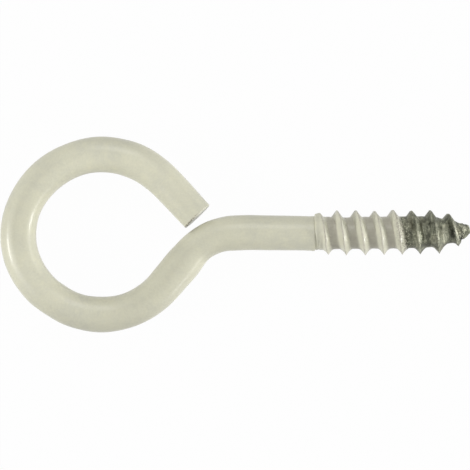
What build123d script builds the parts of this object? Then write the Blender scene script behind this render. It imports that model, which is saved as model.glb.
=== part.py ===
from build123d import *
from math import acos, atan2, ceil, cos, degrees, hypot, pi, radians, sin, sqrt
import os

os.makedirs("parts", exist_ok=True)

# A screw eye bent from one length of steel wire, in millimetres.
# The eye lies flat in the XY plane with its middle at the origin, and the point is towards +X.

# Wire
wire_dia = 4.5
rim_radius = 0.25  # the softened rim of the cut free end

# Eye: a tighter crown on the side away from the shank, and a flatter side arc above and below
eye_width = 15.9  # clear width between the two sides
crown_inner_radius = 6.7
crown_half_angle = 18.4
free_end_slope = 44.7  # how steeply the free end comes down towards the neck
mouth_gap = 0.5  # from the free end's inner corner to the neck

# Neck: the crook that brings the wire from the lower side of the eye to the shank
neck_inner_radius = 5.65
lead_run = 4.25  # straight wire between the eye and the crook
shank_offset = 0.2  # the shank's axis lies this far to the +Y side of the eye's middle

# Shank and thread
thread_start = 27.1  # from the eye's middle to the end of the plain shank
thread_length = 20.0
core_dia = 4.1
thread_dia = 5.65
pitch = 2.365
root_width = 1.28  # width of the ridge where it meets the core
crest_width = 0.14
shoulder_length = 1.1  # over which the plain shank narrows to the core
run_in = 4.0  # over which the ridge rises to its full height
run_in_cover = 1.0  # the part of the run-in that lies inside the plain shank
first_crest = 0.7  # from the thread's start to the first crest on the +Y side

# Point
taper_length = 3.6  # over which the core narrows towards the point
point_dia = 1.98  # where the taper meets the blunt end
blunt_length = 0.8
run_out = 2.1  # over which the ridge sinks away, up to the blunt end

# How finely the ridge follows its helix, and how deep its foot stands in the core
sections_per_turn = 16
foot_depth = 0.2

wire_radius = wire_dia / 2
core_radius = core_dia / 2
point_radius = point_dia / 2
taper_end = thread_length - blunt_length
taper_start = taper_end - taper_length

# The side arcs are centred above and below the eye's middle and the crown arc to its left,
# so that the three arcs run into each other without a kink.
crown_radius = crown_inner_radius + wire_radius
crown_sine = sin(radians(crown_half_angle))
side_inner_radius = (eye_width / 2 - crown_inner_radius * crown_sine) / (1 - crown_sine)
side_radius = side_inner_radius + wire_radius
side_centre_y = (side_radius - crown_radius) * crown_sine
crown_centre_x = (crown_radius - side_radius) * cos(radians(crown_half_angle))

# The crook turns the wire through the angle at which it ends on the shank's axis.
neck_radius = neck_inner_radius + wire_radius
crook_reach = side_radius + neck_radius
crook_drop = side_centre_y + neck_radius - shank_offset
neck_angle = degrees(acos(crook_drop / hypot(crook_reach, lead_run)) - atan2(lead_run, crook_reach))

# The ridge starts inside the plain shank and ends where the blunt end begins.
ridge_length = run_in_cover + taper_end
section_count = ceil(sections_per_turn * ridge_length / pitch)
section_xs = [ridge_length * step / section_count - run_in_cover for step in range(section_count + 1)]


# length of a straight run from its start until it meets a circle
def run_to_circle(start, direction, centre, radius):
    offset = start - centre
    along = offset.dot(direction)
    return -along - sqrt(along**2 - offset.dot(offset) + radius**2)


# radius of the core at a distance from the thread's start
def core_radius_at(x):
    tapered = max((x - taper_start) / taper_length, 0)
    return core_radius + (point_radius - core_radius) * tapered


# share of the ridge's full height: it comes up out of the shank and goes down at the point
def ridge_rise_at(x):
    risen = min((x + run_in_cover) / run_in, 1)
    left = min((taper_end - x) / run_out, 1)
    return sin(pi / 2 * risen) * sin(pi / 2 * left)


# corners of the ridge's section: x along the screw from its crest, y out from the screw's axis
def ridge_corners(x):
    rise = ridge_rise_at(x)
    surface = core_radius_at(x)
    foot = surface - foot_depth
    sunk_crest = surface - foot_depth / 2
    crest = sunk_crest + (thread_dia / 2 - core_radius + foot_depth / 2) * rise
    half_foot = foot_depth + (crest_width + (root_width - crest_width) * rise) / 2
    return [(-half_foot, foot), (-crest_width / 2, crest), (crest_width / 2, crest), (half_foot, foot)]


# plane of the ridge's section, on a right-hand helix about the shank's axis
def ridge_plane(x):
    turn = 2 * pi * (x - first_crest) / pitch
    outwards = Vector(0, cos(turn), sin(turn))
    along = Vector(1, 0, 0)
    return Plane(origin=(thread_start + x, shank_offset), x_dir=along, z_dir=along.cross(outwards))


with BuildPart() as screw_eye:
    # the bent wire: up round the eye from its crown to the free end, and down round it to the shank
    with BuildLine() as centreline:
        crown = CenterArc((crown_centre_x, 0), crown_radius, 180 - crown_half_angle, 2 * crown_half_angle)
        upper = JernArc(crown @ 0, -(crown % 0), side_radius, crown_half_angle - 90 - free_end_slope)
        inner_corner = upper @ 1 - (upper % 1).rotate(Axis.Z, 90) * wire_radius
        lower = JernArc(crown @ 1, crown % 1, side_radius, 90 - crown_half_angle + neck_angle)
        lead = PolarLine(lower @ 1, lead_run, direction=lower % 1)
        neck = JernArc(lead @ 1, lead % 1, neck_radius, -neck_angle)
        Line(neck @ 1, (thread_start, shank_offset))
        mouth_radius = neck_radius + wire_radius + mouth_gap
        end_run = run_to_circle(inner_corner, upper % 1, neck.center_point, mouth_radius)
        free_end = PolarLine(upper @ 1, end_run, direction=upper % 1)
    with BuildSketch(Plane(origin=free_end @ 1, z_dir=free_end % 1)):
        Circle(wire_radius)
    sweep(path=centreline.line)
    cut_face = screw_eye.faces().filter_by(GeomType.PLANE).sort_by(Axis.X)[0]
    fillet(cut_face.edges(), rim_radius)

    # the core of the thread, down to its blunt point
    with BuildSketch(Plane(origin=(thread_start, shank_offset))):
        with BuildLine():
            blunt_end = EllipticalCenterArc((taper_end, 0), blunt_length, point_radius, arc_size=90)
            Polyline(
                blunt_end @ 1,
                (taper_start, core_radius),
                (shoulder_length, core_radius),
                (0, wire_radius),
                (0, 0),
                blunt_end @ 0,
            )
        make_face()
    revolve(axis=Axis((thread_start, shank_offset, 0), (1, 0, 0)))

    # the ridge that is wound round the core
    for section_x in section_xs:
        with BuildSketch(ridge_plane(section_x)):
            with BuildLine():
                Polyline(*ridge_corners(section_x), close=True)
            make_face()
    loft(ruled=True)

screw_eye.part.label = "screw_eye"
export_step(screw_eye.part, "parts/screw_eye.step")
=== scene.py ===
import math

import bpy
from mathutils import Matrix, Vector, noise


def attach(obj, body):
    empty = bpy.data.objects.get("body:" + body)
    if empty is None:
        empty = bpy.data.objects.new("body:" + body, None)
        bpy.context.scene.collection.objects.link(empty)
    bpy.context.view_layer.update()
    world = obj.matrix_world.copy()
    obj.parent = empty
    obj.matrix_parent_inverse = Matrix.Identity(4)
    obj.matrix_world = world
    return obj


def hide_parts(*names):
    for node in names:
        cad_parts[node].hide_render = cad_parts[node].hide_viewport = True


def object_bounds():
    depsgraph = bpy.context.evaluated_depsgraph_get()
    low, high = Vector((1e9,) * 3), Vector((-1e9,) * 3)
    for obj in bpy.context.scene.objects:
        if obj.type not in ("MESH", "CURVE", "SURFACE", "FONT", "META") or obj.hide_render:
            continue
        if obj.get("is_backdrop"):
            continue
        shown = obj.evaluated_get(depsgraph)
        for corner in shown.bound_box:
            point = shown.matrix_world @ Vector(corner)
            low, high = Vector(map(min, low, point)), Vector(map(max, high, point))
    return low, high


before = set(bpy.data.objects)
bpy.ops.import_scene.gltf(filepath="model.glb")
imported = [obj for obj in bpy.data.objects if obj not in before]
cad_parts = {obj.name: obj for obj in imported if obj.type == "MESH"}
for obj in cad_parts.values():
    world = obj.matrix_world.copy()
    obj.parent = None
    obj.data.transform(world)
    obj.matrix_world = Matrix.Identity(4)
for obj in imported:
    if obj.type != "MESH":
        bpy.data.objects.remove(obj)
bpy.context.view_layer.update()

mm = 0.001
print("screw eye: frame loaded")


def eased(stops, at):
    # read off a short list of (where, value), with soft steps in between
    if at <= stops[0][0]:
        return stops[0][1]
    for (a, low), (b, high) in zip(stops, stops[1:]):
        if at <= b:
            f = (at - a) / (b - a)
            return low + (high - low) * f * f * (3 - 2 * f)
    return stops[-1][1]


def rounded(low, high, at):
    # 0 up to low, 1 from high on, with a soft step in between
    f = min(max((at - low) / (high - low), 0.0), 1.0)
    return f * f * (3 - 2 * f)


def bell(away, width):
    # 1 in the middle, fading out on both sides
    return math.exp(-(away / width) ** 2)


def hump(at, shape):
    # shape is its height, where it stands and how wide it is
    height, middle, width = shape
    return height * bell(at - middle, width)


def lumps(x, y, z, size):
    return noise.noise(Vector((x, y, z)) / size)


def angleOf(j, around):
    return 2 * math.pi * j / around


def closedTube(name, rows, around, values):
    # rings of points around a tube, with one point at each end that closes it
    points = []
    marks = {key: [] for key in values}
    for row in rows:
        for point, notes in row:
            points.append((point[0] * mm, point[1] * mm, point[2] * mm))
            for key in values:
                marks[key].append(notes.get(key, 0.0))
    faces = []
    first, last = 0, len(points) - 1
    count = len(rows) - 2
    for i in range(count - 1):
        for j in range(around):
            a = 1 + i * around + j
            b = 1 + i * around + (j + 1) % around
            faces.append((a, b, b + around, a + around))
    lastRing = 1 + (count - 1) * around
    for j in range(around):
        k = (j + 1) % around
        faces.append((first, 1 + k, 1 + j))
        faces.append((last, lastRing + j, lastRing + k))
    mesh = bpy.data.meshes.new(name)
    mesh.from_pydata(points, [], faces)
    for key in values:
        layer = mesh.attributes.new(key, "FLOAT", "POINT")
        layer.data.foreach_set("value", marks[key])
    mesh.polygons.foreach_set("use_smooth", [True] * len(mesh.polygons))
    mesh.set_sharp_from_angle(angle=math.radians(55))
    mesh.update()
    piece = bpy.data.objects.new(name, mesh)
    bpy.context.scene.collection.objects.link(piece)
    return piece


# the wire of the eye, in mm and degrees, followed from the thread back to the cut end
eyeWire = {
    "start": (27.1, 0.2),
    "radius": 2.25,
    "route": [
        ("run", 9.855),
        ("bend", 7.784, 50.33),      # the crook of the neck
        ("run", 4.875),
        ("bend", 10.689, -126.4),    # lower side of the eye
        ("bend", 8.848, -34.93),     # crown
        ("bend", 10.932, -115.35),   # upper side
        ("run", 6.16),
    ],
    "around": 144,
    "step": 0.45,                    # from ring to ring along the plain wire
    # how much thicker the wire is, at how many mm from the cut end
    "thicker": [(0, -0.24), (2.5, -0.16), (5.5, -0.10), (8, 0.0), (11, 0.11), (13, 0.05),
                (15, 0.09), (18, -0.01), (23, 0.07), (27, -0.02), (31, 0.06), (34.5, 0.09),
                (38, 0.02), (41.5, -0.08), (45, -0.04), (47.5, 0.08), (50.5, -0.04),
                (56, -0.01), (58, 0.1), (60.3, 0.2), (62.5, -0.02), (66.5, -0.13),
                (68.5, 0.01), (73, -0.04), (79, -0.1)],
    # how far it strays to its left
    "sideways": [(0, 0.01), (5, -0.05), (7.5, 0.0), (11, -0.06), (16.5, -0.12), (20, -0.07),
                 (26.5, -0.05), (31, 0.0), (35, -0.06), (39, 0.0), (41.5, 0.1), (44, 0.05),
                 (50.5, 0.04), (57, 0.08), (61.5, 0.03), (64, 0.01), (66, 0.09), (68.5, 0.06),
                 (70.5, 0.12), (73, 0.07), (79, 0.01)],
    # painted light and shade along the wire: paler on the upper side of the eye, darker towards the
    # neck
    "tone": [(0, 1.02), (8, 1.07), (16, 1.06), (30, 0.95), (37, 1.05), (44, 1.02),
             (51, 0.92), (58, 0.93), (65, 0.95), (75, 1.01), (79, 1.0)],
    # and painted light on its left, where it lies up, turning to painted shade towards the crook
    "paintedLightInside": [(0, 0.07), (9, 0.07), (14, 0.02), (22, 0.08), (30, 0.04), (36, 0.0),
                   (45, 0.11), (51, 0.06), (55, -0.04), (58.5, -0.11), (62.2, -0.10),
                   (63.6, 0.08), (70, 0.06), (79, 0.03)],
    "upperSide": (-0.5, 0.4),
    "pinchAt": 63.9,                 # where the bending tool bore on the inside of the crook
    "pinchLong": 1.5,
    "pinchDeep": 0.17,
    "waves": 0.012,                  # how uneven the wire is all over
    "waveLong": 0.35,                # how often, for each mm of wire
    "waveAround": 2,
}


def partLength(part):
    return part[1] if part[0] == "run" else part[1] * math.radians(abs(part[2]))


wireLength = sum(partLength(part) for part in eyeWire["route"])


def placeOnWire(back):
    # x, y and heading after going back along the wire from the start of the thread
    x, y = eyeWire["start"]
    heading = math.pi
    for part in eyeWire["route"]:
        go = min(back, partLength(part))
        if part[0] == "run":
            x += go * math.cos(heading)
            y += go * math.sin(heading)
        else:
            turn = math.copysign(go / part[1], part[2])
            side = math.copysign(part[1], part[2])
            x += side * (math.sin(heading + turn) - math.sin(heading))
            y += side * (math.cos(heading) - math.cos(heading + turn))
            heading += turn
        back -= go
        if back <= 0:
            break
    return x, y, heading


def wirePoint(back, angle, radius, along=0.0):
    # angle 0 is the left side for a walk towards the thread, 90 degrees is up
    x, y, heading = placeOnWire(back)
    side = radius * math.cos(angle) + eased(eyeWire["sideways"], wireLength - back)
    x += side * math.sin(heading) + along * math.cos(heading)
    y += -side * math.cos(heading) + along * math.sin(heading)
    return x, y, radius * math.sin(angle)


def wireRadius(back, angle):
    fromCut = wireLength - back
    radius = eyeWire["radius"] + eased(eyeWire["thicker"], fromCut) / 2
    away = fromCut - eyeWire["pinchAt"]
    if abs(away) < 3 * eyeWire["pinchLong"]:
        facing = max(0.0, -math.cos(angle)) ** 2
        radius -= eyeWire["pinchDeep"] * facing * bell(away, eyeWire["pinchLong"])
    around = eyeWire["waveAround"]
    wave = Vector((fromCut * eyeWire["waveLong"], around * math.cos(angle), around * math.sin(angle)))
    return radius + eyeWire["waves"] * noise.noise(wave)


# the thread, in mm from its start at the end of the plain shank
woodThread = {
    "pitch": 2.365,
    "firstCrest": 0.7,               # where the ridge stands on the side towards the cut end
    # how far each crest stands off its even place
    "uneven": [(0.7, 0.0), (1.9, -0.03), (3.0, -0.12), (4.2, -0.08), (5.4, -0.09), (6.6, 0.02),
               (7.8, -0.04), (9.0, 0.03), (10.1, -0.10), (11.3, -0.04), (12.5, -0.04),
               (13.7, -0.06), (14.8, -0.03), (16.1, 0.02), (17.2, -0.06), (18.4, 0.03)],
    # radius at the root and on the crest
    "core": [(0.0, 2.08), (1.9, 2.09), (2.5, 2.00), (4.3, 1.97), (6.3, 2.02), (7.5, 1.99),
             (9.5, 2.01), (11.5, 2.04), (13.7, 2.03), (14.7, 1.96), (15.6, 1.88),
             (16.4, 1.70), (17.6, 1.46), (18.8, 1.16), (19.9, 0.84)],
    "crest": [(-1.2, 2.10), (0.0, 2.40), (0.7, 2.58), (1.9, 2.68), (3.0, 2.88), (4.2, 2.81),
              (5.3, 2.87), (6.6, 2.83), (7.7, 2.74), (8.9, 2.82), (10.0, 2.85), (11.3, 2.82),
              (12.4, 2.75), (13.7, 2.84), (14.8, 2.78), (16.1, 2.80), (17.1, 2.32),
              (18.5, 1.78), (19.3, 1.16), (19.9, 0.84)],
    "foot": (0.12, 0.62),            # half the foot of the ridge: at no height, and for each mm of it
    "full": 1.15,
    "hollowFoot": (0.30, 0.76),      # the same where its flanks are hollow
    "hollow": 1.9,
    "hollowTurn": (-0.4, 1.0),
    "hollowFlat": 0.6,               # how much of the flat on top is lost there
    "frontFoot": 0.12,              # the flank towards the point is fuller where it lies up
    "front": 1.7,
    "frontShare": 0.8,
    "runOut": 2.1,                   # the first turn runs out of the lip of the shank
    "runOutTurn": (0.9, 1.9),
    "crestFlat": 0.045,              # half the flat on top
    "wander": 0.07,                  # how far the crest strays from its line
    "wanderAround": 2.6,             # how often, around the screw and for each mm along it
    "wanderAlong": 0.9,
    "crestLine": 0.105,              # half the line along the crest: painted shade on the coat, painted highlight on the bare steel
    "lineRise": 0.5,                 # on a lower ridge that line is fainter
    "unshadedHeight": 0.6,              # higher up on the ridge there is no painted shade
    "drift": 0.8,                    # degrees that the screw leans off the shank
    "driftFrom": 1.5,
    "tipDrop": 0.11,                 # how far the tip stands aside of that line
    "tipDropAt": (17.7, 18.9),
    "rowStep": 0.04,
}


def threadFlank(u, rise, at, angle):
    # 1 on the crest, 0 at the root; flanks are full on one side of the screw and hollow on the other
    hollowSide = rounded(*woodThread["hollowTurn"], -math.cos(angle))
    flat = woodThread["crestFlat"] * (1 - woodThread["hollowFlat"] * hollowSide)
    away = max(0.0, abs(u) - flat)
    foot = woodThread["foot"][0] + woodThread["foot"][1] * rise
    hollowFoot = woodThread["hollowFoot"][0] + woodThread["hollowFoot"][1] * rise
    full = (1 - min(1.0, away / foot)) ** woodThread["full"]
    sharp = (1 - min(1.0, away / hollowFoot)) ** woodThread["hollow"]
    shape = full * (1 - hollowSide) + sharp * hollowSide
    if u > 0:
        up = max(0.0, math.sin(angle))
        front = max(0.0, 1 - (away / (foot + woodThread["frontFoot"])) ** woodThread["front"])
        shape += (front - shape) * woodThread["frontShare"] * up * up
    else:
        fading = 1 - rounded(*woodThread["runOutTurn"], at)
        shape = max(shape, (1 - away / woodThread["runOut"]) * fading)
    return shape


def threadShape(t, angle):
    # radius of the screw, how deep in the thread this is from 0 to 1, and 1 along the crest
    turns = angle / (2 * math.pi)
    pitch, first = woodThread["pitch"], woodThread["firstCrest"]
    n = round((t - first) / pitch - turns)
    at = first + pitch * (n + turns)
    around, along = woodThread["wanderAround"], woodThread["wanderAlong"]
    stray = noise.noise(Vector((around * math.cos(angle), around * math.sin(angle), at * along)))
    u = t - at - eased(woodThread["uneven"], at) + woodThread["wander"] * stray
    core = eased(woodThread["core"], t)
    rise = max(0.0, eased(woodThread["crest"], at) - eased(woodThread["core"], at))
    height = rise * threadFlank(u, rise, at, angle)
    line = bell(u, woodThread["crestLine"]) * min(1.0, rise / woodThread["lineRise"])
    return core + height, 1 - min(1.0, height / woodThread["unshadedHeight"]), line


def onScrew(t, angle, radius):
    lean = math.tan(math.radians(woodThread["drift"])) * max(0.0, t - woodThread["driftFrom"])
    lean -= woodThread["tipDrop"] * rounded(*woodThread["tipDropAt"], t)
    x = eyeWire["start"][0] + t
    y = eyeWire["start"][1] + radius * math.cos(angle) + lean
    return x, y, radius * math.sin(angle)


# the cut end of the wire
cutEnd = {
    "tilt": 2.6,                     # degrees off square
    "tiltLong": 1.5,                 # over which the tilt fades out
    "rim": 0.13,                     # radius of its softened rim
    "rings": (0.1, 0.25, 0.4, 0.55, 0.7, 0.8, 0.88, 0.94, 0.98),
    "rimRings": 6,
    "rough": 0.03,
    "burr": 0.05,
    "burrTowards": 50,               # degrees, from the left side up
    "burrShadowLeft": (-0.35, 0.3),     # painted shadow of the burr, drawn as chipped coat, on the left side
    "burrShadowUp": (-0.6, 0.1),        # and on the upper side
    "tone": 1.02,
}
cutTilt = math.tan(math.radians(cutEnd["tilt"]))


def cutRing(fraction, inset, sunk):
    # a ring on the cut face or its rim: its share of the radius, how far in, and how far back
    ring = []
    for j in range(eyeWire["around"]):
        angle = angleOf(j, eyeWire["around"])
        radius = (wireRadius(wireLength, angle) - inset) * fraction
        z = radius * math.sin(angle)
        hills = noise.noise(Vector((radius * math.cos(angle) * 1.3, z * 1.3, 3.0)))
        lift = -z * cutTilt - sunk + cutEnd["rough"] * hills * (1 - fraction ** 6)
        if fraction == 1:
            burrSide = max(0.0, math.cos(angle - math.radians(cutEnd["burrTowards"]))) ** 2
            radius += cutEnd["burr"] * burrSide * max(0.0, 1 - sunk / cutEnd["rim"])
        # painted shadow of the burr on the cut end
        burrShadow = rounded(*cutEnd["burrShadowLeft"], math.cos(angle))
        burrShadow *= rounded(*cutEnd["burrShadowUp"], math.sin(angle))
        notes = {"cut": burrShadow, "tone": cutEnd["tone"]}
        ring.append((wirePoint(wireLength, angle, radius, lift), notes))
    return ring


def cutRows():
    rim = cutEnd["rim"]
    rows = [[(wirePoint(wireLength, 0, 0, 0), {"tone": cutEnd["tone"]})]]
    for fraction in cutEnd["rings"]:
        rows.append(cutRing(fraction, rim, 0.0))
    for k in range(cutEnd["rimRings"]):
        bend = math.radians(90 * k / (cutEnd["rimRings"] - 1))
        rows.append(cutRing(1, rim * (1 - math.sin(bend)), rim * (1 - math.cos(bend))))
    return rows


# the end of the shank, where the coat bridges a seam and a groove to the first turn
shankLip = {
    "from": -0.7,                    # mm from the start of the thread
    "to": 0.7,
    "seam": 0.08,
    "seamSlant": 0.05,
    "bridge": (-0.03, 0.1),          # mm past the seam, where the thread takes over from the shank
    # height, mm past the seam, and how wide
    "swell": (0.06, -0.2, 0.28),
    "crease": (0.065, 0.03, 0.06),
    "rim": (0.09, 0.18, 0.09),
    "swellEven": 0.6,                # the swell is higher on one side than on the other
    "swellSkew": 0.4,
    "rootRadius": 2.04,
    "groove": (0.06, 0.62, 0.13),    # this one from the start of the thread
    "grooveSide": (0.0, 0.45),
    "turnHighlight": [(0.1, 1.0), (0.42, 0.95), (0.85, 1.08), (1.3, 1.0)],   # painted highlight along the first turn, after a band of painted shade
    "turnHighlightSlant": 0.3,
}


def plainRows():
    # the plain wire, with the tilt of the cut fading out over the first rings
    rows = []
    back = wireLength - cutEnd["rim"]
    step = 0.1
    while True:
        step = min(eyeWire["step"], step * 1.25)
        back -= step
        if back <= 0.05 - shankLip["from"]:
            return rows
        fromCut = wireLength - back
        fade = max(0.0, 1 - (fromCut - cutEnd["rim"]) / cutEnd["tiltLong"])
        tone = eased(eyeWire["tone"], fromCut)
        paintedLight = eased(eyeWire["paintedLightInside"], fromCut)
        ring = []
        for j in range(eyeWire["around"]):
            angle = angleOf(j, eyeWire["around"])
            radius = wireRadius(back, angle)
            lift = -radius * math.sin(angle) * cutTilt * fade
            # painted light and shade on the upper left of the wire
            shade = 1 + paintedLight * math.cos(angle) * rounded(*eyeWire["upperSide"], math.sin(angle))
            ring.append((wirePoint(back, angle, radius, lift), {"tone": tone * shade}))
        rows.append(ring)


# the coat on the screw, and where it stops
screwCoat = {
    "stopsAt": 10.85,
    "ragged": 0.21,
    "thick": 0.04,
    "feather": 0.12,                 # over which it thins out at its edge
    "wornLong": 1.6,                 # over which it is worn before its edge
    "evenTo": 9.6,                   # up to here the rings are flat, then they follow the edge
    "edgeRings": 66,
    "tucks": (0.03, 0.3, 0.8),       # the rings that turn in under the edge
    "lumps": (0.008, 0.35),          # height and size
    "fineLumps": (0.006, 0.16),
    "lumpier": 1.6,                  # how much more of them there is on the thread
    "lumpierFrom": (0.0, 0.6),
    "rootShadeFrom": (1.0, 1.7),          # where the painted shade in the root begins
    "lineFrom": (0.3, 1.2),          # and the line along the crest
    "sideShade": 0.5,                    # painted shade on the crests at both sides of the screw
    "sideShadeSpread": 0.23,
    "sideShadeSides": (0.8, 1.0),
}


def coatStop(angle):
    # the edge of the coat climbs with the thread on the upper half and comes back below
    turns = angle / (2 * math.pi)
    climb = turns if turns < 0.5 else 0.25 * (1 + math.cos((turns - 0.5) * 2 * math.pi))
    ring = Vector((3 * math.cos(angle), 3 * math.sin(angle), 4.0))
    ragged = noise.noise(ring) + 0.6 * noise.noise(ring * 3.1) + 0.4 * noise.noise(ring * 7.3)
    return screwCoat["stopsAt"] + woodThread["pitch"] * climb + screwCoat["ragged"] * ragged


def lipRadius(t, angle, coated):
    # from the shank over its lip and the seam to the coated screw
    past = t - shankLip["seam"] + shankLip["seamSlant"] * math.cos(angle)
    groove = hump(t, shankLip["groove"]) * rounded(*shankLip["grooveSide"], -math.cos(angle))
    sunk = hump(past, shankLip["crease"]) + groove
    if t >= shankLip["to"]:
        return coated - sunk
    swell = shankLip["swellEven"] - shankLip["swellSkew"] * math.cos(angle)
    shank = wireRadius(max(0.0, -t), angle) + hump(past, shankLip["swell"]) * swell
    rim = hump(past, shankLip["rim"]) * max(0.0, math.sin(angle))
    over = rounded(*shankLip["bridge"], past)
    return shank * (1 - over) + max(coated, shankLip["rootRadius"] + rim) * over - sunk


def coatedScrewPoint(t, angle, stop=None):
    bare, depth, line = threadShape(t, angle)
    coat, worn = screwCoat["thick"], 0.0
    if stop is not None:
        left = stop - t
        worn = max(0.0, 1 - left / screwCoat["wornLong"])
        coat *= min(1.0, max(0.0, left / screwCoat["feather"])) ** 0.5
        if left < 0.02:
            coat = -0.01
    radius = lipRadius(t, angle, bare + coat)
    x, y, z = onScrew(t, angle, radius)
    coarse = screwCoat["lumps"][0] * lumps(x, y, z, screwCoat["lumps"][1])
    fine = screwCoat["fineLumps"][0] * lumps(x + 9, y, z, screwCoat["fineLumps"][1])
    radius += (1 + screwCoat["lumpier"] * rounded(*screwCoat["lumpierFrom"], t)) * (coarse + fine)
    # painted shade on the crests at both sides of the screw
    sides = rounded(*screwCoat["sideShadeSides"], abs(math.cos(angle)))
    sideShade = screwCoat["sideShade"] * line ** screwCoat["sideShadeSpread"] * sides
    # painted highlight and shade along the first turn, slanted on one side
    slant = shankLip["turnHighlightSlant"] * min(0.0, radius * math.cos(angle))
    notes = {
        "depth": depth * rounded(*screwCoat["rootShadeFrom"], t),
        "line": max(line, sideShade) * rounded(*screwCoat["lineFrom"], t),
        "tone": eased(shankLip["turnHighlight"], t + slant),
        "edge": worn,
    }
    return onScrew(t, angle, radius), notes


def coatedScrewRows():
    around = eyeWire["around"]
    angles = [angleOf(j, around) for j in range(around)]
    stops = [coatStop(angle) for angle in angles]
    rows = []
    t = shankLip["from"]
    while t < screwCoat["evenTo"]:
        rows.append([coatedScrewPoint(t, angle) for angle in angles])
        t += woodThread["rowStep"]
    for i in range(screwCoat["edgeRings"] + 1):
        f = i / screwCoat["edgeRings"]
        ring = []
        for angle, stop in zip(angles, stops):
            at = screwCoat["evenTo"] + (stop - screwCoat["evenTo"]) * f
            ring.append(coatedScrewPoint(at, angle, stop))
        rows.append(ring)
    for tuck in screwCoat["tucks"]:
        ring = []
        for angle, stop in zip(angles, stops):
            radius = (threadShape(stop, angle)[0] - 0.02) * (1 - tuck * 0.9)
            ring.append((onScrew(stop - tuck * 0.5, angle, radius), {}))
        rows.append(ring)
    rows.append([(onScrew(10.0, 0, 0), {})])
    return rows


print("screw eye: making the coated wire")
coatedRows = cutRows() + plainRows() + coatedScrewRows()
coatMarks = ["depth", "line", "edge", "cut", "tone"]
coatedWire = closedTube("coatedWire", coatedRows, eyeWire["around"], coatMarks)
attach(coatedWire, "root")
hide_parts("screw_eye")

# the bare end of the screw, in mm from the start of the thread
barePoint = {
    "from": 9.4,                     # inside the coat
    "to": 19.95,
    "around": 160,
    "rowStep": 0.04,
    "endRings": (0.985, 0.95, 0.9, 0.82, 0.72, 0.6, 0.46, 0.32, 0.18, 0.07),
    "rough": 0.026,
    "tip": (17.4, 18.9),             # where it gets rougher
    "tipRougher": 2.2,
    "end": (18.75, 19.6),            # where its blunt end gets skewed, domed and rougher
    "endRougher": 1.2,
    "skew": 0.8,
    "skewFrom": -0.1,                # mm from the middle
    "dome": 0.12,
    "speckLong": 2.2,                # specks of coat go on for so long past its edge
    "crestHighlight": 0.15,                  # painted highlight along the crests
    "crestHighlightSide": (0.4, -0.9, 1.0),  # and more on one side: how much, where and how wide
    "crestHighlightTo": (15.0, 15.6),
    "crestHighlightLess": 0.9,
    "lightAndShadeUp": (-0.5, 0.5),        # mm over the middle, where the patches of painted light and shade begin
    # patches of painted light and painted shade where it lies up: place, how far aside, half sizes,
    # how much
    "lightAndShadePatches": [(16.6, -0.3, 0.5, 0.9, 0.6), (17.65, -0.1, 0.47, 0.95, -1.0),
               (18.8, -0.75, 0.5, 0.4, -1.0), (19.3, 0.5, 0.4, 0.4, 0.5),
               (15.1, 1.0, 0.8, 0.6, -0.4), (12.2, 0.8, 0.8, 0.9, -0.3),
               (13.1, -0.7, 0.4, 1.0, 0.3), (15.4, -0.7, 0.35, 0.8, 0.45),
               (14.5, -0.4, 0.5, 0.9, -0.3), (11.6, -0.4, 0.6, 1.2, -0.35)],
    "streakFrom": 17.5,              # a painted highlight in a slanting streak on the front of the last turn
    "streakAt": 18.09,
    "streakSlant": 0.33,
    "streakWide": 0.12,
    "streakMiddle": 0.1,
    "streakLong": 0.9,
}


def bareHighlight(t, aside, line):
    # painted highlight on the steel along the crests, and in the streak on the last turn
    if t > barePoint["streakFrom"]:
        off = t - barePoint["streakAt"] + barePoint["streakSlant"] * aside
        along = bell(aside - barePoint["streakMiddle"], barePoint["streakLong"])
        return bell(off, barePoint["streakWide"]) * along
    fading = 1 - barePoint["crestHighlightLess"] * rounded(*barePoint["crestHighlightTo"], t)
    return line * (barePoint["crestHighlight"] + hump(aside, barePoint["crestHighlightSide"]) * fading)


def bareScrewPoint(t, fraction, angle):
    radius, depth, line = threadShape(t, angle)
    tip = rounded(*barePoint["tip"], t)
    end = rounded(*barePoint["end"], t)
    x, y, z = onScrew(t, angle, radius * fraction)
    rough = barePoint["rough"] * (1 + barePoint["tipRougher"] * tip)
    bump = lumps(x, y, z, 0.42) + 0.6 * lumps(x, y + 5, z, 0.19) + 0.35 * lumps(x, y, z + 7, 0.09)
    if fraction == 1:
        radius += rough * bump
    aside = radius * fraction * math.cos(angle)
    shift = barePoint["endRougher"] * rough * bump
    shift += barePoint["skew"] * min(0.0, aside - barePoint["skewFrom"])
    shift -= barePoint["dome"] * fraction ** 2
    x, y, z = onScrew(t, angle, radius * fraction)
    lightAndShade = 0.0
    for where, off, halfLong, halfWide, much in barePoint["lightAndShadePatches"]:
        lightAndShade += much * bell(t - where, halfLong) * bell(aside - off, halfWide)
    past = t - coatStop(angle)
    notes = {
        "depth": depth,
        "line": bareHighlight(t, aside, line),
        "lightAndShade": lightAndShade * rounded(*barePoint["lightAndShadeUp"], z),
        "edge": max(0.0, 1 - max(0.0, past) / barePoint["speckLong"]),
        "tip": tip,
    }
    return (x + shift * end, y, z), notes


def bareRows():
    angles = [angleOf(j, barePoint["around"]) for j in range(barePoint["around"])]
    rows = [[(onScrew(barePoint["from"] + 0.1, 0, 0), {})]]
    t = barePoint["from"]
    while t < barePoint["to"] - 0.02:
        rows.append([bareScrewPoint(t, 1.0, angle) for angle in angles])
        t += barePoint["rowStep"]
    for fraction in barePoint["endRings"]:
        rows.append([bareScrewPoint(barePoint["to"], fraction, angle) for angle in angles])
    rows.append([bareScrewPoint(barePoint["to"], 0.0, 0.0)])
    return rows


print("screw eye: making the bare point")
bareMarks = ["depth", "line", "edge", "tip", "lightAndShade"]
bareEnd = closedTube("barePoint", bareRows(), barePoint["around"], bareMarks)
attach(bareEnd, "root")
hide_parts("screw_eye")


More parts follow.
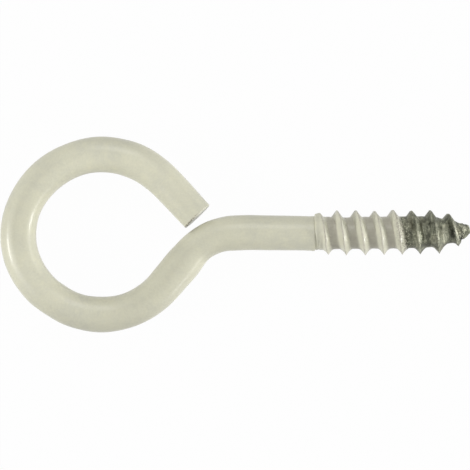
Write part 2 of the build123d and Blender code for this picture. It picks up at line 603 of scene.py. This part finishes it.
class Nodes:
    # places and joins the shader nodes of one material or of the sky
    def __init__(self, owner, ending="ShaderNodeOutputMaterial"):
        owner.use_nodes = True
        self.tree = owner.node_tree
        self.tree.nodes.clear()
        self.output = self.tree.nodes.new(ending)

    def node(self, kind, **settings):
        made = self.tree.nodes.new(kind)
        for key, value in settings.items():
            setattr(made, key, value)
        return made

    def link(self, a, b):
        self.tree.links.new(a, b)

    def place(self):
        return self.node("ShaderNodeTexCoord").outputs["Object"]

    def mark(self, name):
        made = self.node("ShaderNodeAttribute", attribute_type="GEOMETRY", attribute_name=name)
        return made.outputs["Fac"]

    def grain(self, where, size, detail, rough, stretch=None):
        made = self.node("ShaderNodeTexNoise")
        made.inputs["Scale"].default_value = 1 / (size * mm)
        made.inputs["Detail"].default_value = detail
        made.inputs["Roughness"].default_value = rough
        if stretch:
            bent = self.node("ShaderNodeMapping")
            bent.inputs["Scale"].default_value = stretch
            self.link(where, bent.inputs["Vector"])
            where = bent.outputs["Vector"]
        self.link(where, made.inputs["Vector"])
        return made.outputs["Fac"]

    def spread(self, value, fromLow, fromHigh, toLow=0.0, toHigh=1.0):
        made = self.node("ShaderNodeMapRange", clamp=True)
        self.link(value, made.inputs["Value"])
        made.inputs["From Min"].default_value = fromLow
        made.inputs["From Max"].default_value = fromHigh
        made.inputs["To Min"].default_value = toLow
        made.inputs["To Max"].default_value = toHigh
        return made.outputs["Result"]

    def both(self, a, b, how="MULTIPLY"):
        made = self.node("ShaderNodeMath", operation=how)
        for value, socket in zip((a, b), made.inputs):
            if isinstance(value, float):
                socket.default_value = value
            else:
                self.link(value, socket)
        return made.outputs["Value"]

    def blend(self, amount, a, b):
        made = self.node("ShaderNodeMix", data_type="RGBA")
        self.link(amount, made.inputs[0])
        for value, socket in ((a, made.inputs[6]), (b, made.inputs[7])):
            if isinstance(value, tuple):
                socket.default_value = (*value, 1)
            else:
                self.link(value, socket)
        return made.outputs[2]

    def bumps(self, coarse, fine, strength, distance):
        made = self.node("ShaderNodeBump")
        made.inputs["Strength"].default_value = strength
        made.inputs["Distance"].default_value = distance * mm
        height = self.both(self.both(coarse, 0.6), self.both(fine, 0.4), "ADD")
        self.link(height, made.inputs["Height"])
        return made.outputs["Normal"]

    def surface(self, colour, roughness, normal, metal, shine):
        made = self.node("ShaderNodeBsdfPrincipled")
        self.link(colour, made.inputs["Base Color"])
        self.link(roughness, made.inputs["Roughness"])
        self.link(normal, made.inputs["Normal"])
        made.inputs["Metallic"].default_value = metal
        made.inputs["Specular IOR Level"].default_value = shine
        self.link(made.outputs["BSDF"], self.output.inputs["Surface"])
        return made


creamCoat = {
    "main": (0.633, 0.622, 0.487),
    "warm": (0.658, 0.643, 0.488),
    "grey": (0.573, 0.566, 0.457),
    # root: the colour of the painted shade in the root and along the crest
    "root": (0.440, 0.418, 0.345),
    # worn: bare steel where the coat is worn, and the painted shadow of the burr on the cut end
    "worn": (0.240, 0.220, 0.165),
    "shine": 0.35,
    "rough": (0.30, 0.42),
    "bumps": (0.35, 0.03),           # strength, and height in mm
    "clear": 0.13,                   # the glossy skin of the coat
    "clearRough": 0.16,
    # grain: size in mm, detail and roughness
    "broad": (5.0, 2.0, 0.5),
    "mottle": (1.1, 4.0, 0.6),
    "fine": (0.24, 3.0, 0.6),
    "speckle": (0.27, 3.0, 0.7),
    "drawn": (0.15, 2.0, 0.6, (0.12, 1.0, 1.0)),   # hair lines along the screw
}


def coatFinish():
    made = bpy.data.materials.new("creamCoat")
    m = Nodes(made)
    where = m.place()
    broad = m.grain(where, *creamCoat["broad"])
    mottle = m.grain(where, *creamCoat["mottle"])
    fine = m.grain(where, *creamCoat["fine"])
    speckle = m.grain(where, *creamCoat["speckle"])
    drawn = m.grain(where, *creamCoat["drawn"])
    colour = m.blend(m.spread(broad, 0.36, 0.62), creamCoat["grey"], creamCoat["main"])
    colour = m.blend(m.spread(mottle, 0.42, 0.72, 0.0, 0.6), colour, creamCoat["warm"])
    # the tone mark brings painted light and shade into the coat: along the wire, on its upper left and
    # on the first turn
    toned = m.node("ShaderNodeVectorMath", operation="SCALE")
    m.link(colour, toned.inputs[0])
    m.link(m.both(m.mark("tone"), m.spread(speckle, 0.3, 0.7, 0.955, 1.045)), toned.inputs["Scale"])

    # painted shade in the root and along the crest
    rootShade = m.both(m.spread(m.mark("depth"), 0.72, 1.0), m.spread(mottle, 0.3, 0.7, 0.6, 1.0))
    rootShade = m.both(rootShade, m.spread(drawn, 0.3, 0.7, 0.75, 1.15))
    colour = m.blend(rootShade, toned.outputs[0], creamCoat["root"])
    line = m.both(m.mark("line"), m.spread(fine, 0.35, 0.6, 0.45, 1.0))
    colour = m.blend(line, colour, creamCoat["root"])

    # worn through before its edge, and the painted shadow of the burr on the cut end
    worn = m.both(m.spread(fine, 0.50, 0.57), m.spread(m.mark("edge"), 0.2, 0.9))
    colour = m.blend(worn, colour, creamCoat["worn"])
    burrShadow = m.both(m.mark("cut"), m.spread(fine, 0.34, 0.52))
    colour = m.blend(burrShadow, colour, creamCoat["worn"])
    roughness = m.spread(mottle, 0.3, 0.7, *creamCoat["rough"])
    normal = m.bumps(mottle, fine, *creamCoat["bumps"])
    coat = m.surface(colour, roughness, normal, 0.0, creamCoat["shine"])
    coat.inputs["Coat Weight"].default_value = creamCoat["clear"]
    coat.inputs["Coat Roughness"].default_value = creamCoat["clearRough"]
    return made


darkSteel = {
    "main": (0.180, 0.186, 0.132),
    "dark": (0.056, 0.060, 0.040),
    # black paints the shade in the dark patches
    "black": (0.020, 0.021, 0.015),
    "light": (0.370, 0.376, 0.275),
    "brown": (0.265, 0.235, 0.140),
    # bright paints highlights, glints and light patches on the steel
    "bright": (0.620, 0.615, 0.480),
    "coat": (0.560, 0.550, 0.410),   # specks of coat left on it
    "metal": 0.6,
    "shine": 0.5,
    "rough": (0.34, 0.60),
    "bumps": (1.0, 0.08),            # strength, and height in mm
    # grain: size in mm, detail and roughness
    "mottle": (0.55, 6.0, 0.66, (1.25, 0.6, 0.6)),   # drawn out around the screw
    "blotch": (1.9, 3.0, 0.5),
    "fine": (0.17, 3.0, 0.6),
}


def steelFinish():
    made = bpy.data.materials.new("darkSteel")
    m = Nodes(made)
    where = m.place()
    mottle = m.grain(where, *darkSteel["mottle"])
    blotch = m.grain(where, *darkSteel["blotch"])
    fine = m.grain(where, *darkSteel["fine"])
    colour = m.blend(m.spread(mottle, 0.40, 0.56), darkSteel["dark"], darkSteel["main"])
    colour = m.blend(m.spread(mottle, 0.54, 0.68), colour, darkSteel["light"])
    colour = m.blend(m.spread(blotch, 0.52, 0.70, 0.0, 0.3), colour, darkSteel["brown"])

    # painted light and painted shade in patches, painted highlights along the crests, painted glints,
    # and specks of coat past its edge
    lightAndShade = m.mark("lightAndShade")
    paintedBright = m.both(m.spread(lightAndShade, 0.0, 1.0), m.spread(fine, 0.3, 0.6))
    colour = m.blend(paintedBright, colour, darkSteel["bright"])
    colour = m.blend(m.spread(lightAndShade, 0.0, -1.0), colour, darkSteel["black"])
    crestHighlight = m.both(m.mark("line"), m.spread(fine, 0.36, 0.52))
    colour = m.blend(crestHighlight, colour, darkSteel["bright"])
    # painted glints, most of all on the tip
    paintedGlints = m.both(m.spread(m.mark("tip"), 0.0, 1.0, 0.15, 0.9), m.spread(fine, 0.57, 0.62))
    colour = m.blend(paintedGlints, colour, darkSteel["bright"])
    specks = m.both(m.spread(fine, 0.56, 0.62), m.spread(m.mark("edge"), 0.4, 1.0))
    colour = m.blend(specks, colour, darkSteel["coat"])
    roughness = m.spread(fine, 0.40, 0.62, *darkSteel["rough"])
    normal = m.bumps(mottle, fine, *darkSteel["bumps"])
    m.surface(colour, roughness, normal, darkSteel["metal"], darkSteel["shine"])
    return made


print("screw eye: finishes")
coatedWire.data.materials.append(coatFinish())
bareEnd.data.materials.append(steelFinish())
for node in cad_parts.values():     # the plain solid gets the coat too
    for place in node.material_slots:
        place.material = coatedWire.data.materials[0]

# the view of the picture, straight down on the eye, in mm
pictureView = {
    "middle": (17.007, -0.004),      # what is in the middle of the picture
    "width": 60.16,                  # across the picture
    "height": 260.0,                 # from the eye to the camera
    "sensor": 36.0,
}

# the room: a white sheet below, a pale sky, soft lamps to the left, the right and above
studio = {
    "sheetSize": 3.0,
    "sheetCuts": 8,
    "sheetGap": 0.01,                # mm below the lowest crest
    "sheetColour": 0.52,
    "sheetShows": 0.98,              # how much of its own white the sheet shows to the camera
    "sky": 0.40,
    "lampsAway": 0.5,
    "lamps": {
        "leftLamp": {"turn": 188, "up": 23, "wide": 0.13, "high": 0.05, "watts": 1.00},
        "leftHighLamp": {"turn": 198, "up": 38, "wide": 0.25, "high": 0.25, "watts": 0.46},
        "rightLamp": {"turn": -14, "up": 9, "wide": 0.14, "high": 0.06, "watts": 1.30},
        "rightSoftLamp": {"turn": 20, "up": 12, "wide": 0.34, "high": 0.16, "watts": 0.50},
        "rightLowLamp": {"turn": -38, "up": 10, "wide": 0.20, "high": 0.08, "watts": 0.34},
        "topLamp": {"turn": 88, "up": 46, "wide": 0.25, "high": 0.25, "watts": 0.58},
    },
}
white = (1, 1, 1, 1)


def seenDirectly(m):
    # 1 for what the camera, a reflection or a clear body shows, 0 for light that falls on things
    path = m.node("ShaderNodeLightPath")
    seen = m.both(path.outputs["Is Camera Ray"], path.outputs["Is Glossy Ray"], "MAXIMUM")
    return m.both(seen, path.outputs["Is Transmission Ray"], "MAXIMUM")


def plainAndShown(m, amount, plain, shown):
    mix = m.node("ShaderNodeMixShader")
    m.link(amount, mix.inputs["Fac"])
    m.link(plain.outputs[0], mix.inputs[1])
    m.link(shown.outputs[0], mix.inputs[2])
    m.link(mix.outputs["Shader"], m.output.inputs["Surface"])


def whiteSheet():
    half = studio["sheetSize"] / 2
    cuts = studio["sheetCuts"]
    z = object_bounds()[0].z - studio["sheetGap"] * mm
    steps = [(i / cuts * 2 - 1) * half for i in range(cuts + 1)]
    points = [(x, y, z) for x in steps for y in steps]
    faces = []
    for i in range(cuts):
        for j in range(cuts):
            a = i * (cuts + 1) + j
            faces.append((a, a + cuts + 1, a + cuts + 2, a + 1))
    mesh = bpy.data.meshes.new("whiteSheet")
    mesh.from_pydata(points, [], faces)
    mesh.update()
    sheet = bpy.data.objects.new("whiteSheet", mesh)
    bpy.context.scene.collection.objects.link(sheet)
    made = bpy.data.materials.new("whitePaper")
    m = Nodes(made)
    paper = m.node("ShaderNodeBsdfDiffuse")
    paper.inputs["Color"].default_value = (studio["sheetColour"],) * 3 + (1,)
    glow = m.node("ShaderNodeEmission")
    glow.inputs["Color"].default_value = white
    glow.inputs["Strength"].default_value = 1.0
    plainAndShown(m, m.both(seenDirectly(m), studio["sheetShows"]), paper, glow)
    mesh.materials.append(made)
    sheet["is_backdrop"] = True


def paleSky():
    world = bpy.data.worlds.new("paleSky")
    bpy.context.scene.world = world
    m = Nodes(world, "ShaderNodeOutputWorld")
    light = m.node("ShaderNodeBackground")
    light.inputs["Color"].default_value = white
    light.inputs["Strength"].default_value = studio["sky"]
    shown = m.node("ShaderNodeBackground")
    shown.inputs["Color"].default_value = white
    shown.inputs["Strength"].default_value = 1.0
    plainAndShown(m, seenDirectly(m), light, shown)


def softLamps():
    middle = Vector((pictureView["middle"][0] * mm, pictureView["middle"][1] * mm, 0))
    for name, lamp in studio["lamps"].items():
        turn, up = math.radians(lamp["turn"]), math.radians(lamp["up"])
        toward = Vector((math.cos(turn) * math.cos(up), math.sin(turn) * math.cos(up), math.sin(up)))
        data = bpy.data.lights.new(name, "AREA")
        data.shape = "RECTANGLE"
        data.size = lamp["wide"]
        data.size_y = lamp["high"]
        data.energy = lamp["watts"]
        made = bpy.data.objects.new(name, data)
        made.location = middle + toward * studio["lampsAway"]
        made.rotation_mode = "QUATERNION"
        made.rotation_quaternion = (-toward).to_track_quat("-Z", "Y")
        bpy.context.scene.collection.objects.link(made)


def lookDown():
    data = bpy.data.cameras.new("pictureCamera")
    data.sensor_width = pictureView["sensor"]
    data.lens = pictureView["sensor"] * pictureView["height"] / pictureView["width"]
    data.clip_start = 0.01
    data.clip_end = 10
    camera = bpy.data.objects.new("pictureCamera", data)
    x, y = pictureView["middle"]
    camera.location = (x * mm, y * mm, pictureView["height"] * mm)
    bpy.context.scene.collection.objects.link(camera)
    bpy.context.scene.camera = camera


print("screw eye: room, lamps and camera")
whiteSheet()
paleSky()
softLamps()
lookDown()
bpy.context.scene.view_settings.view_transform = "Standard"
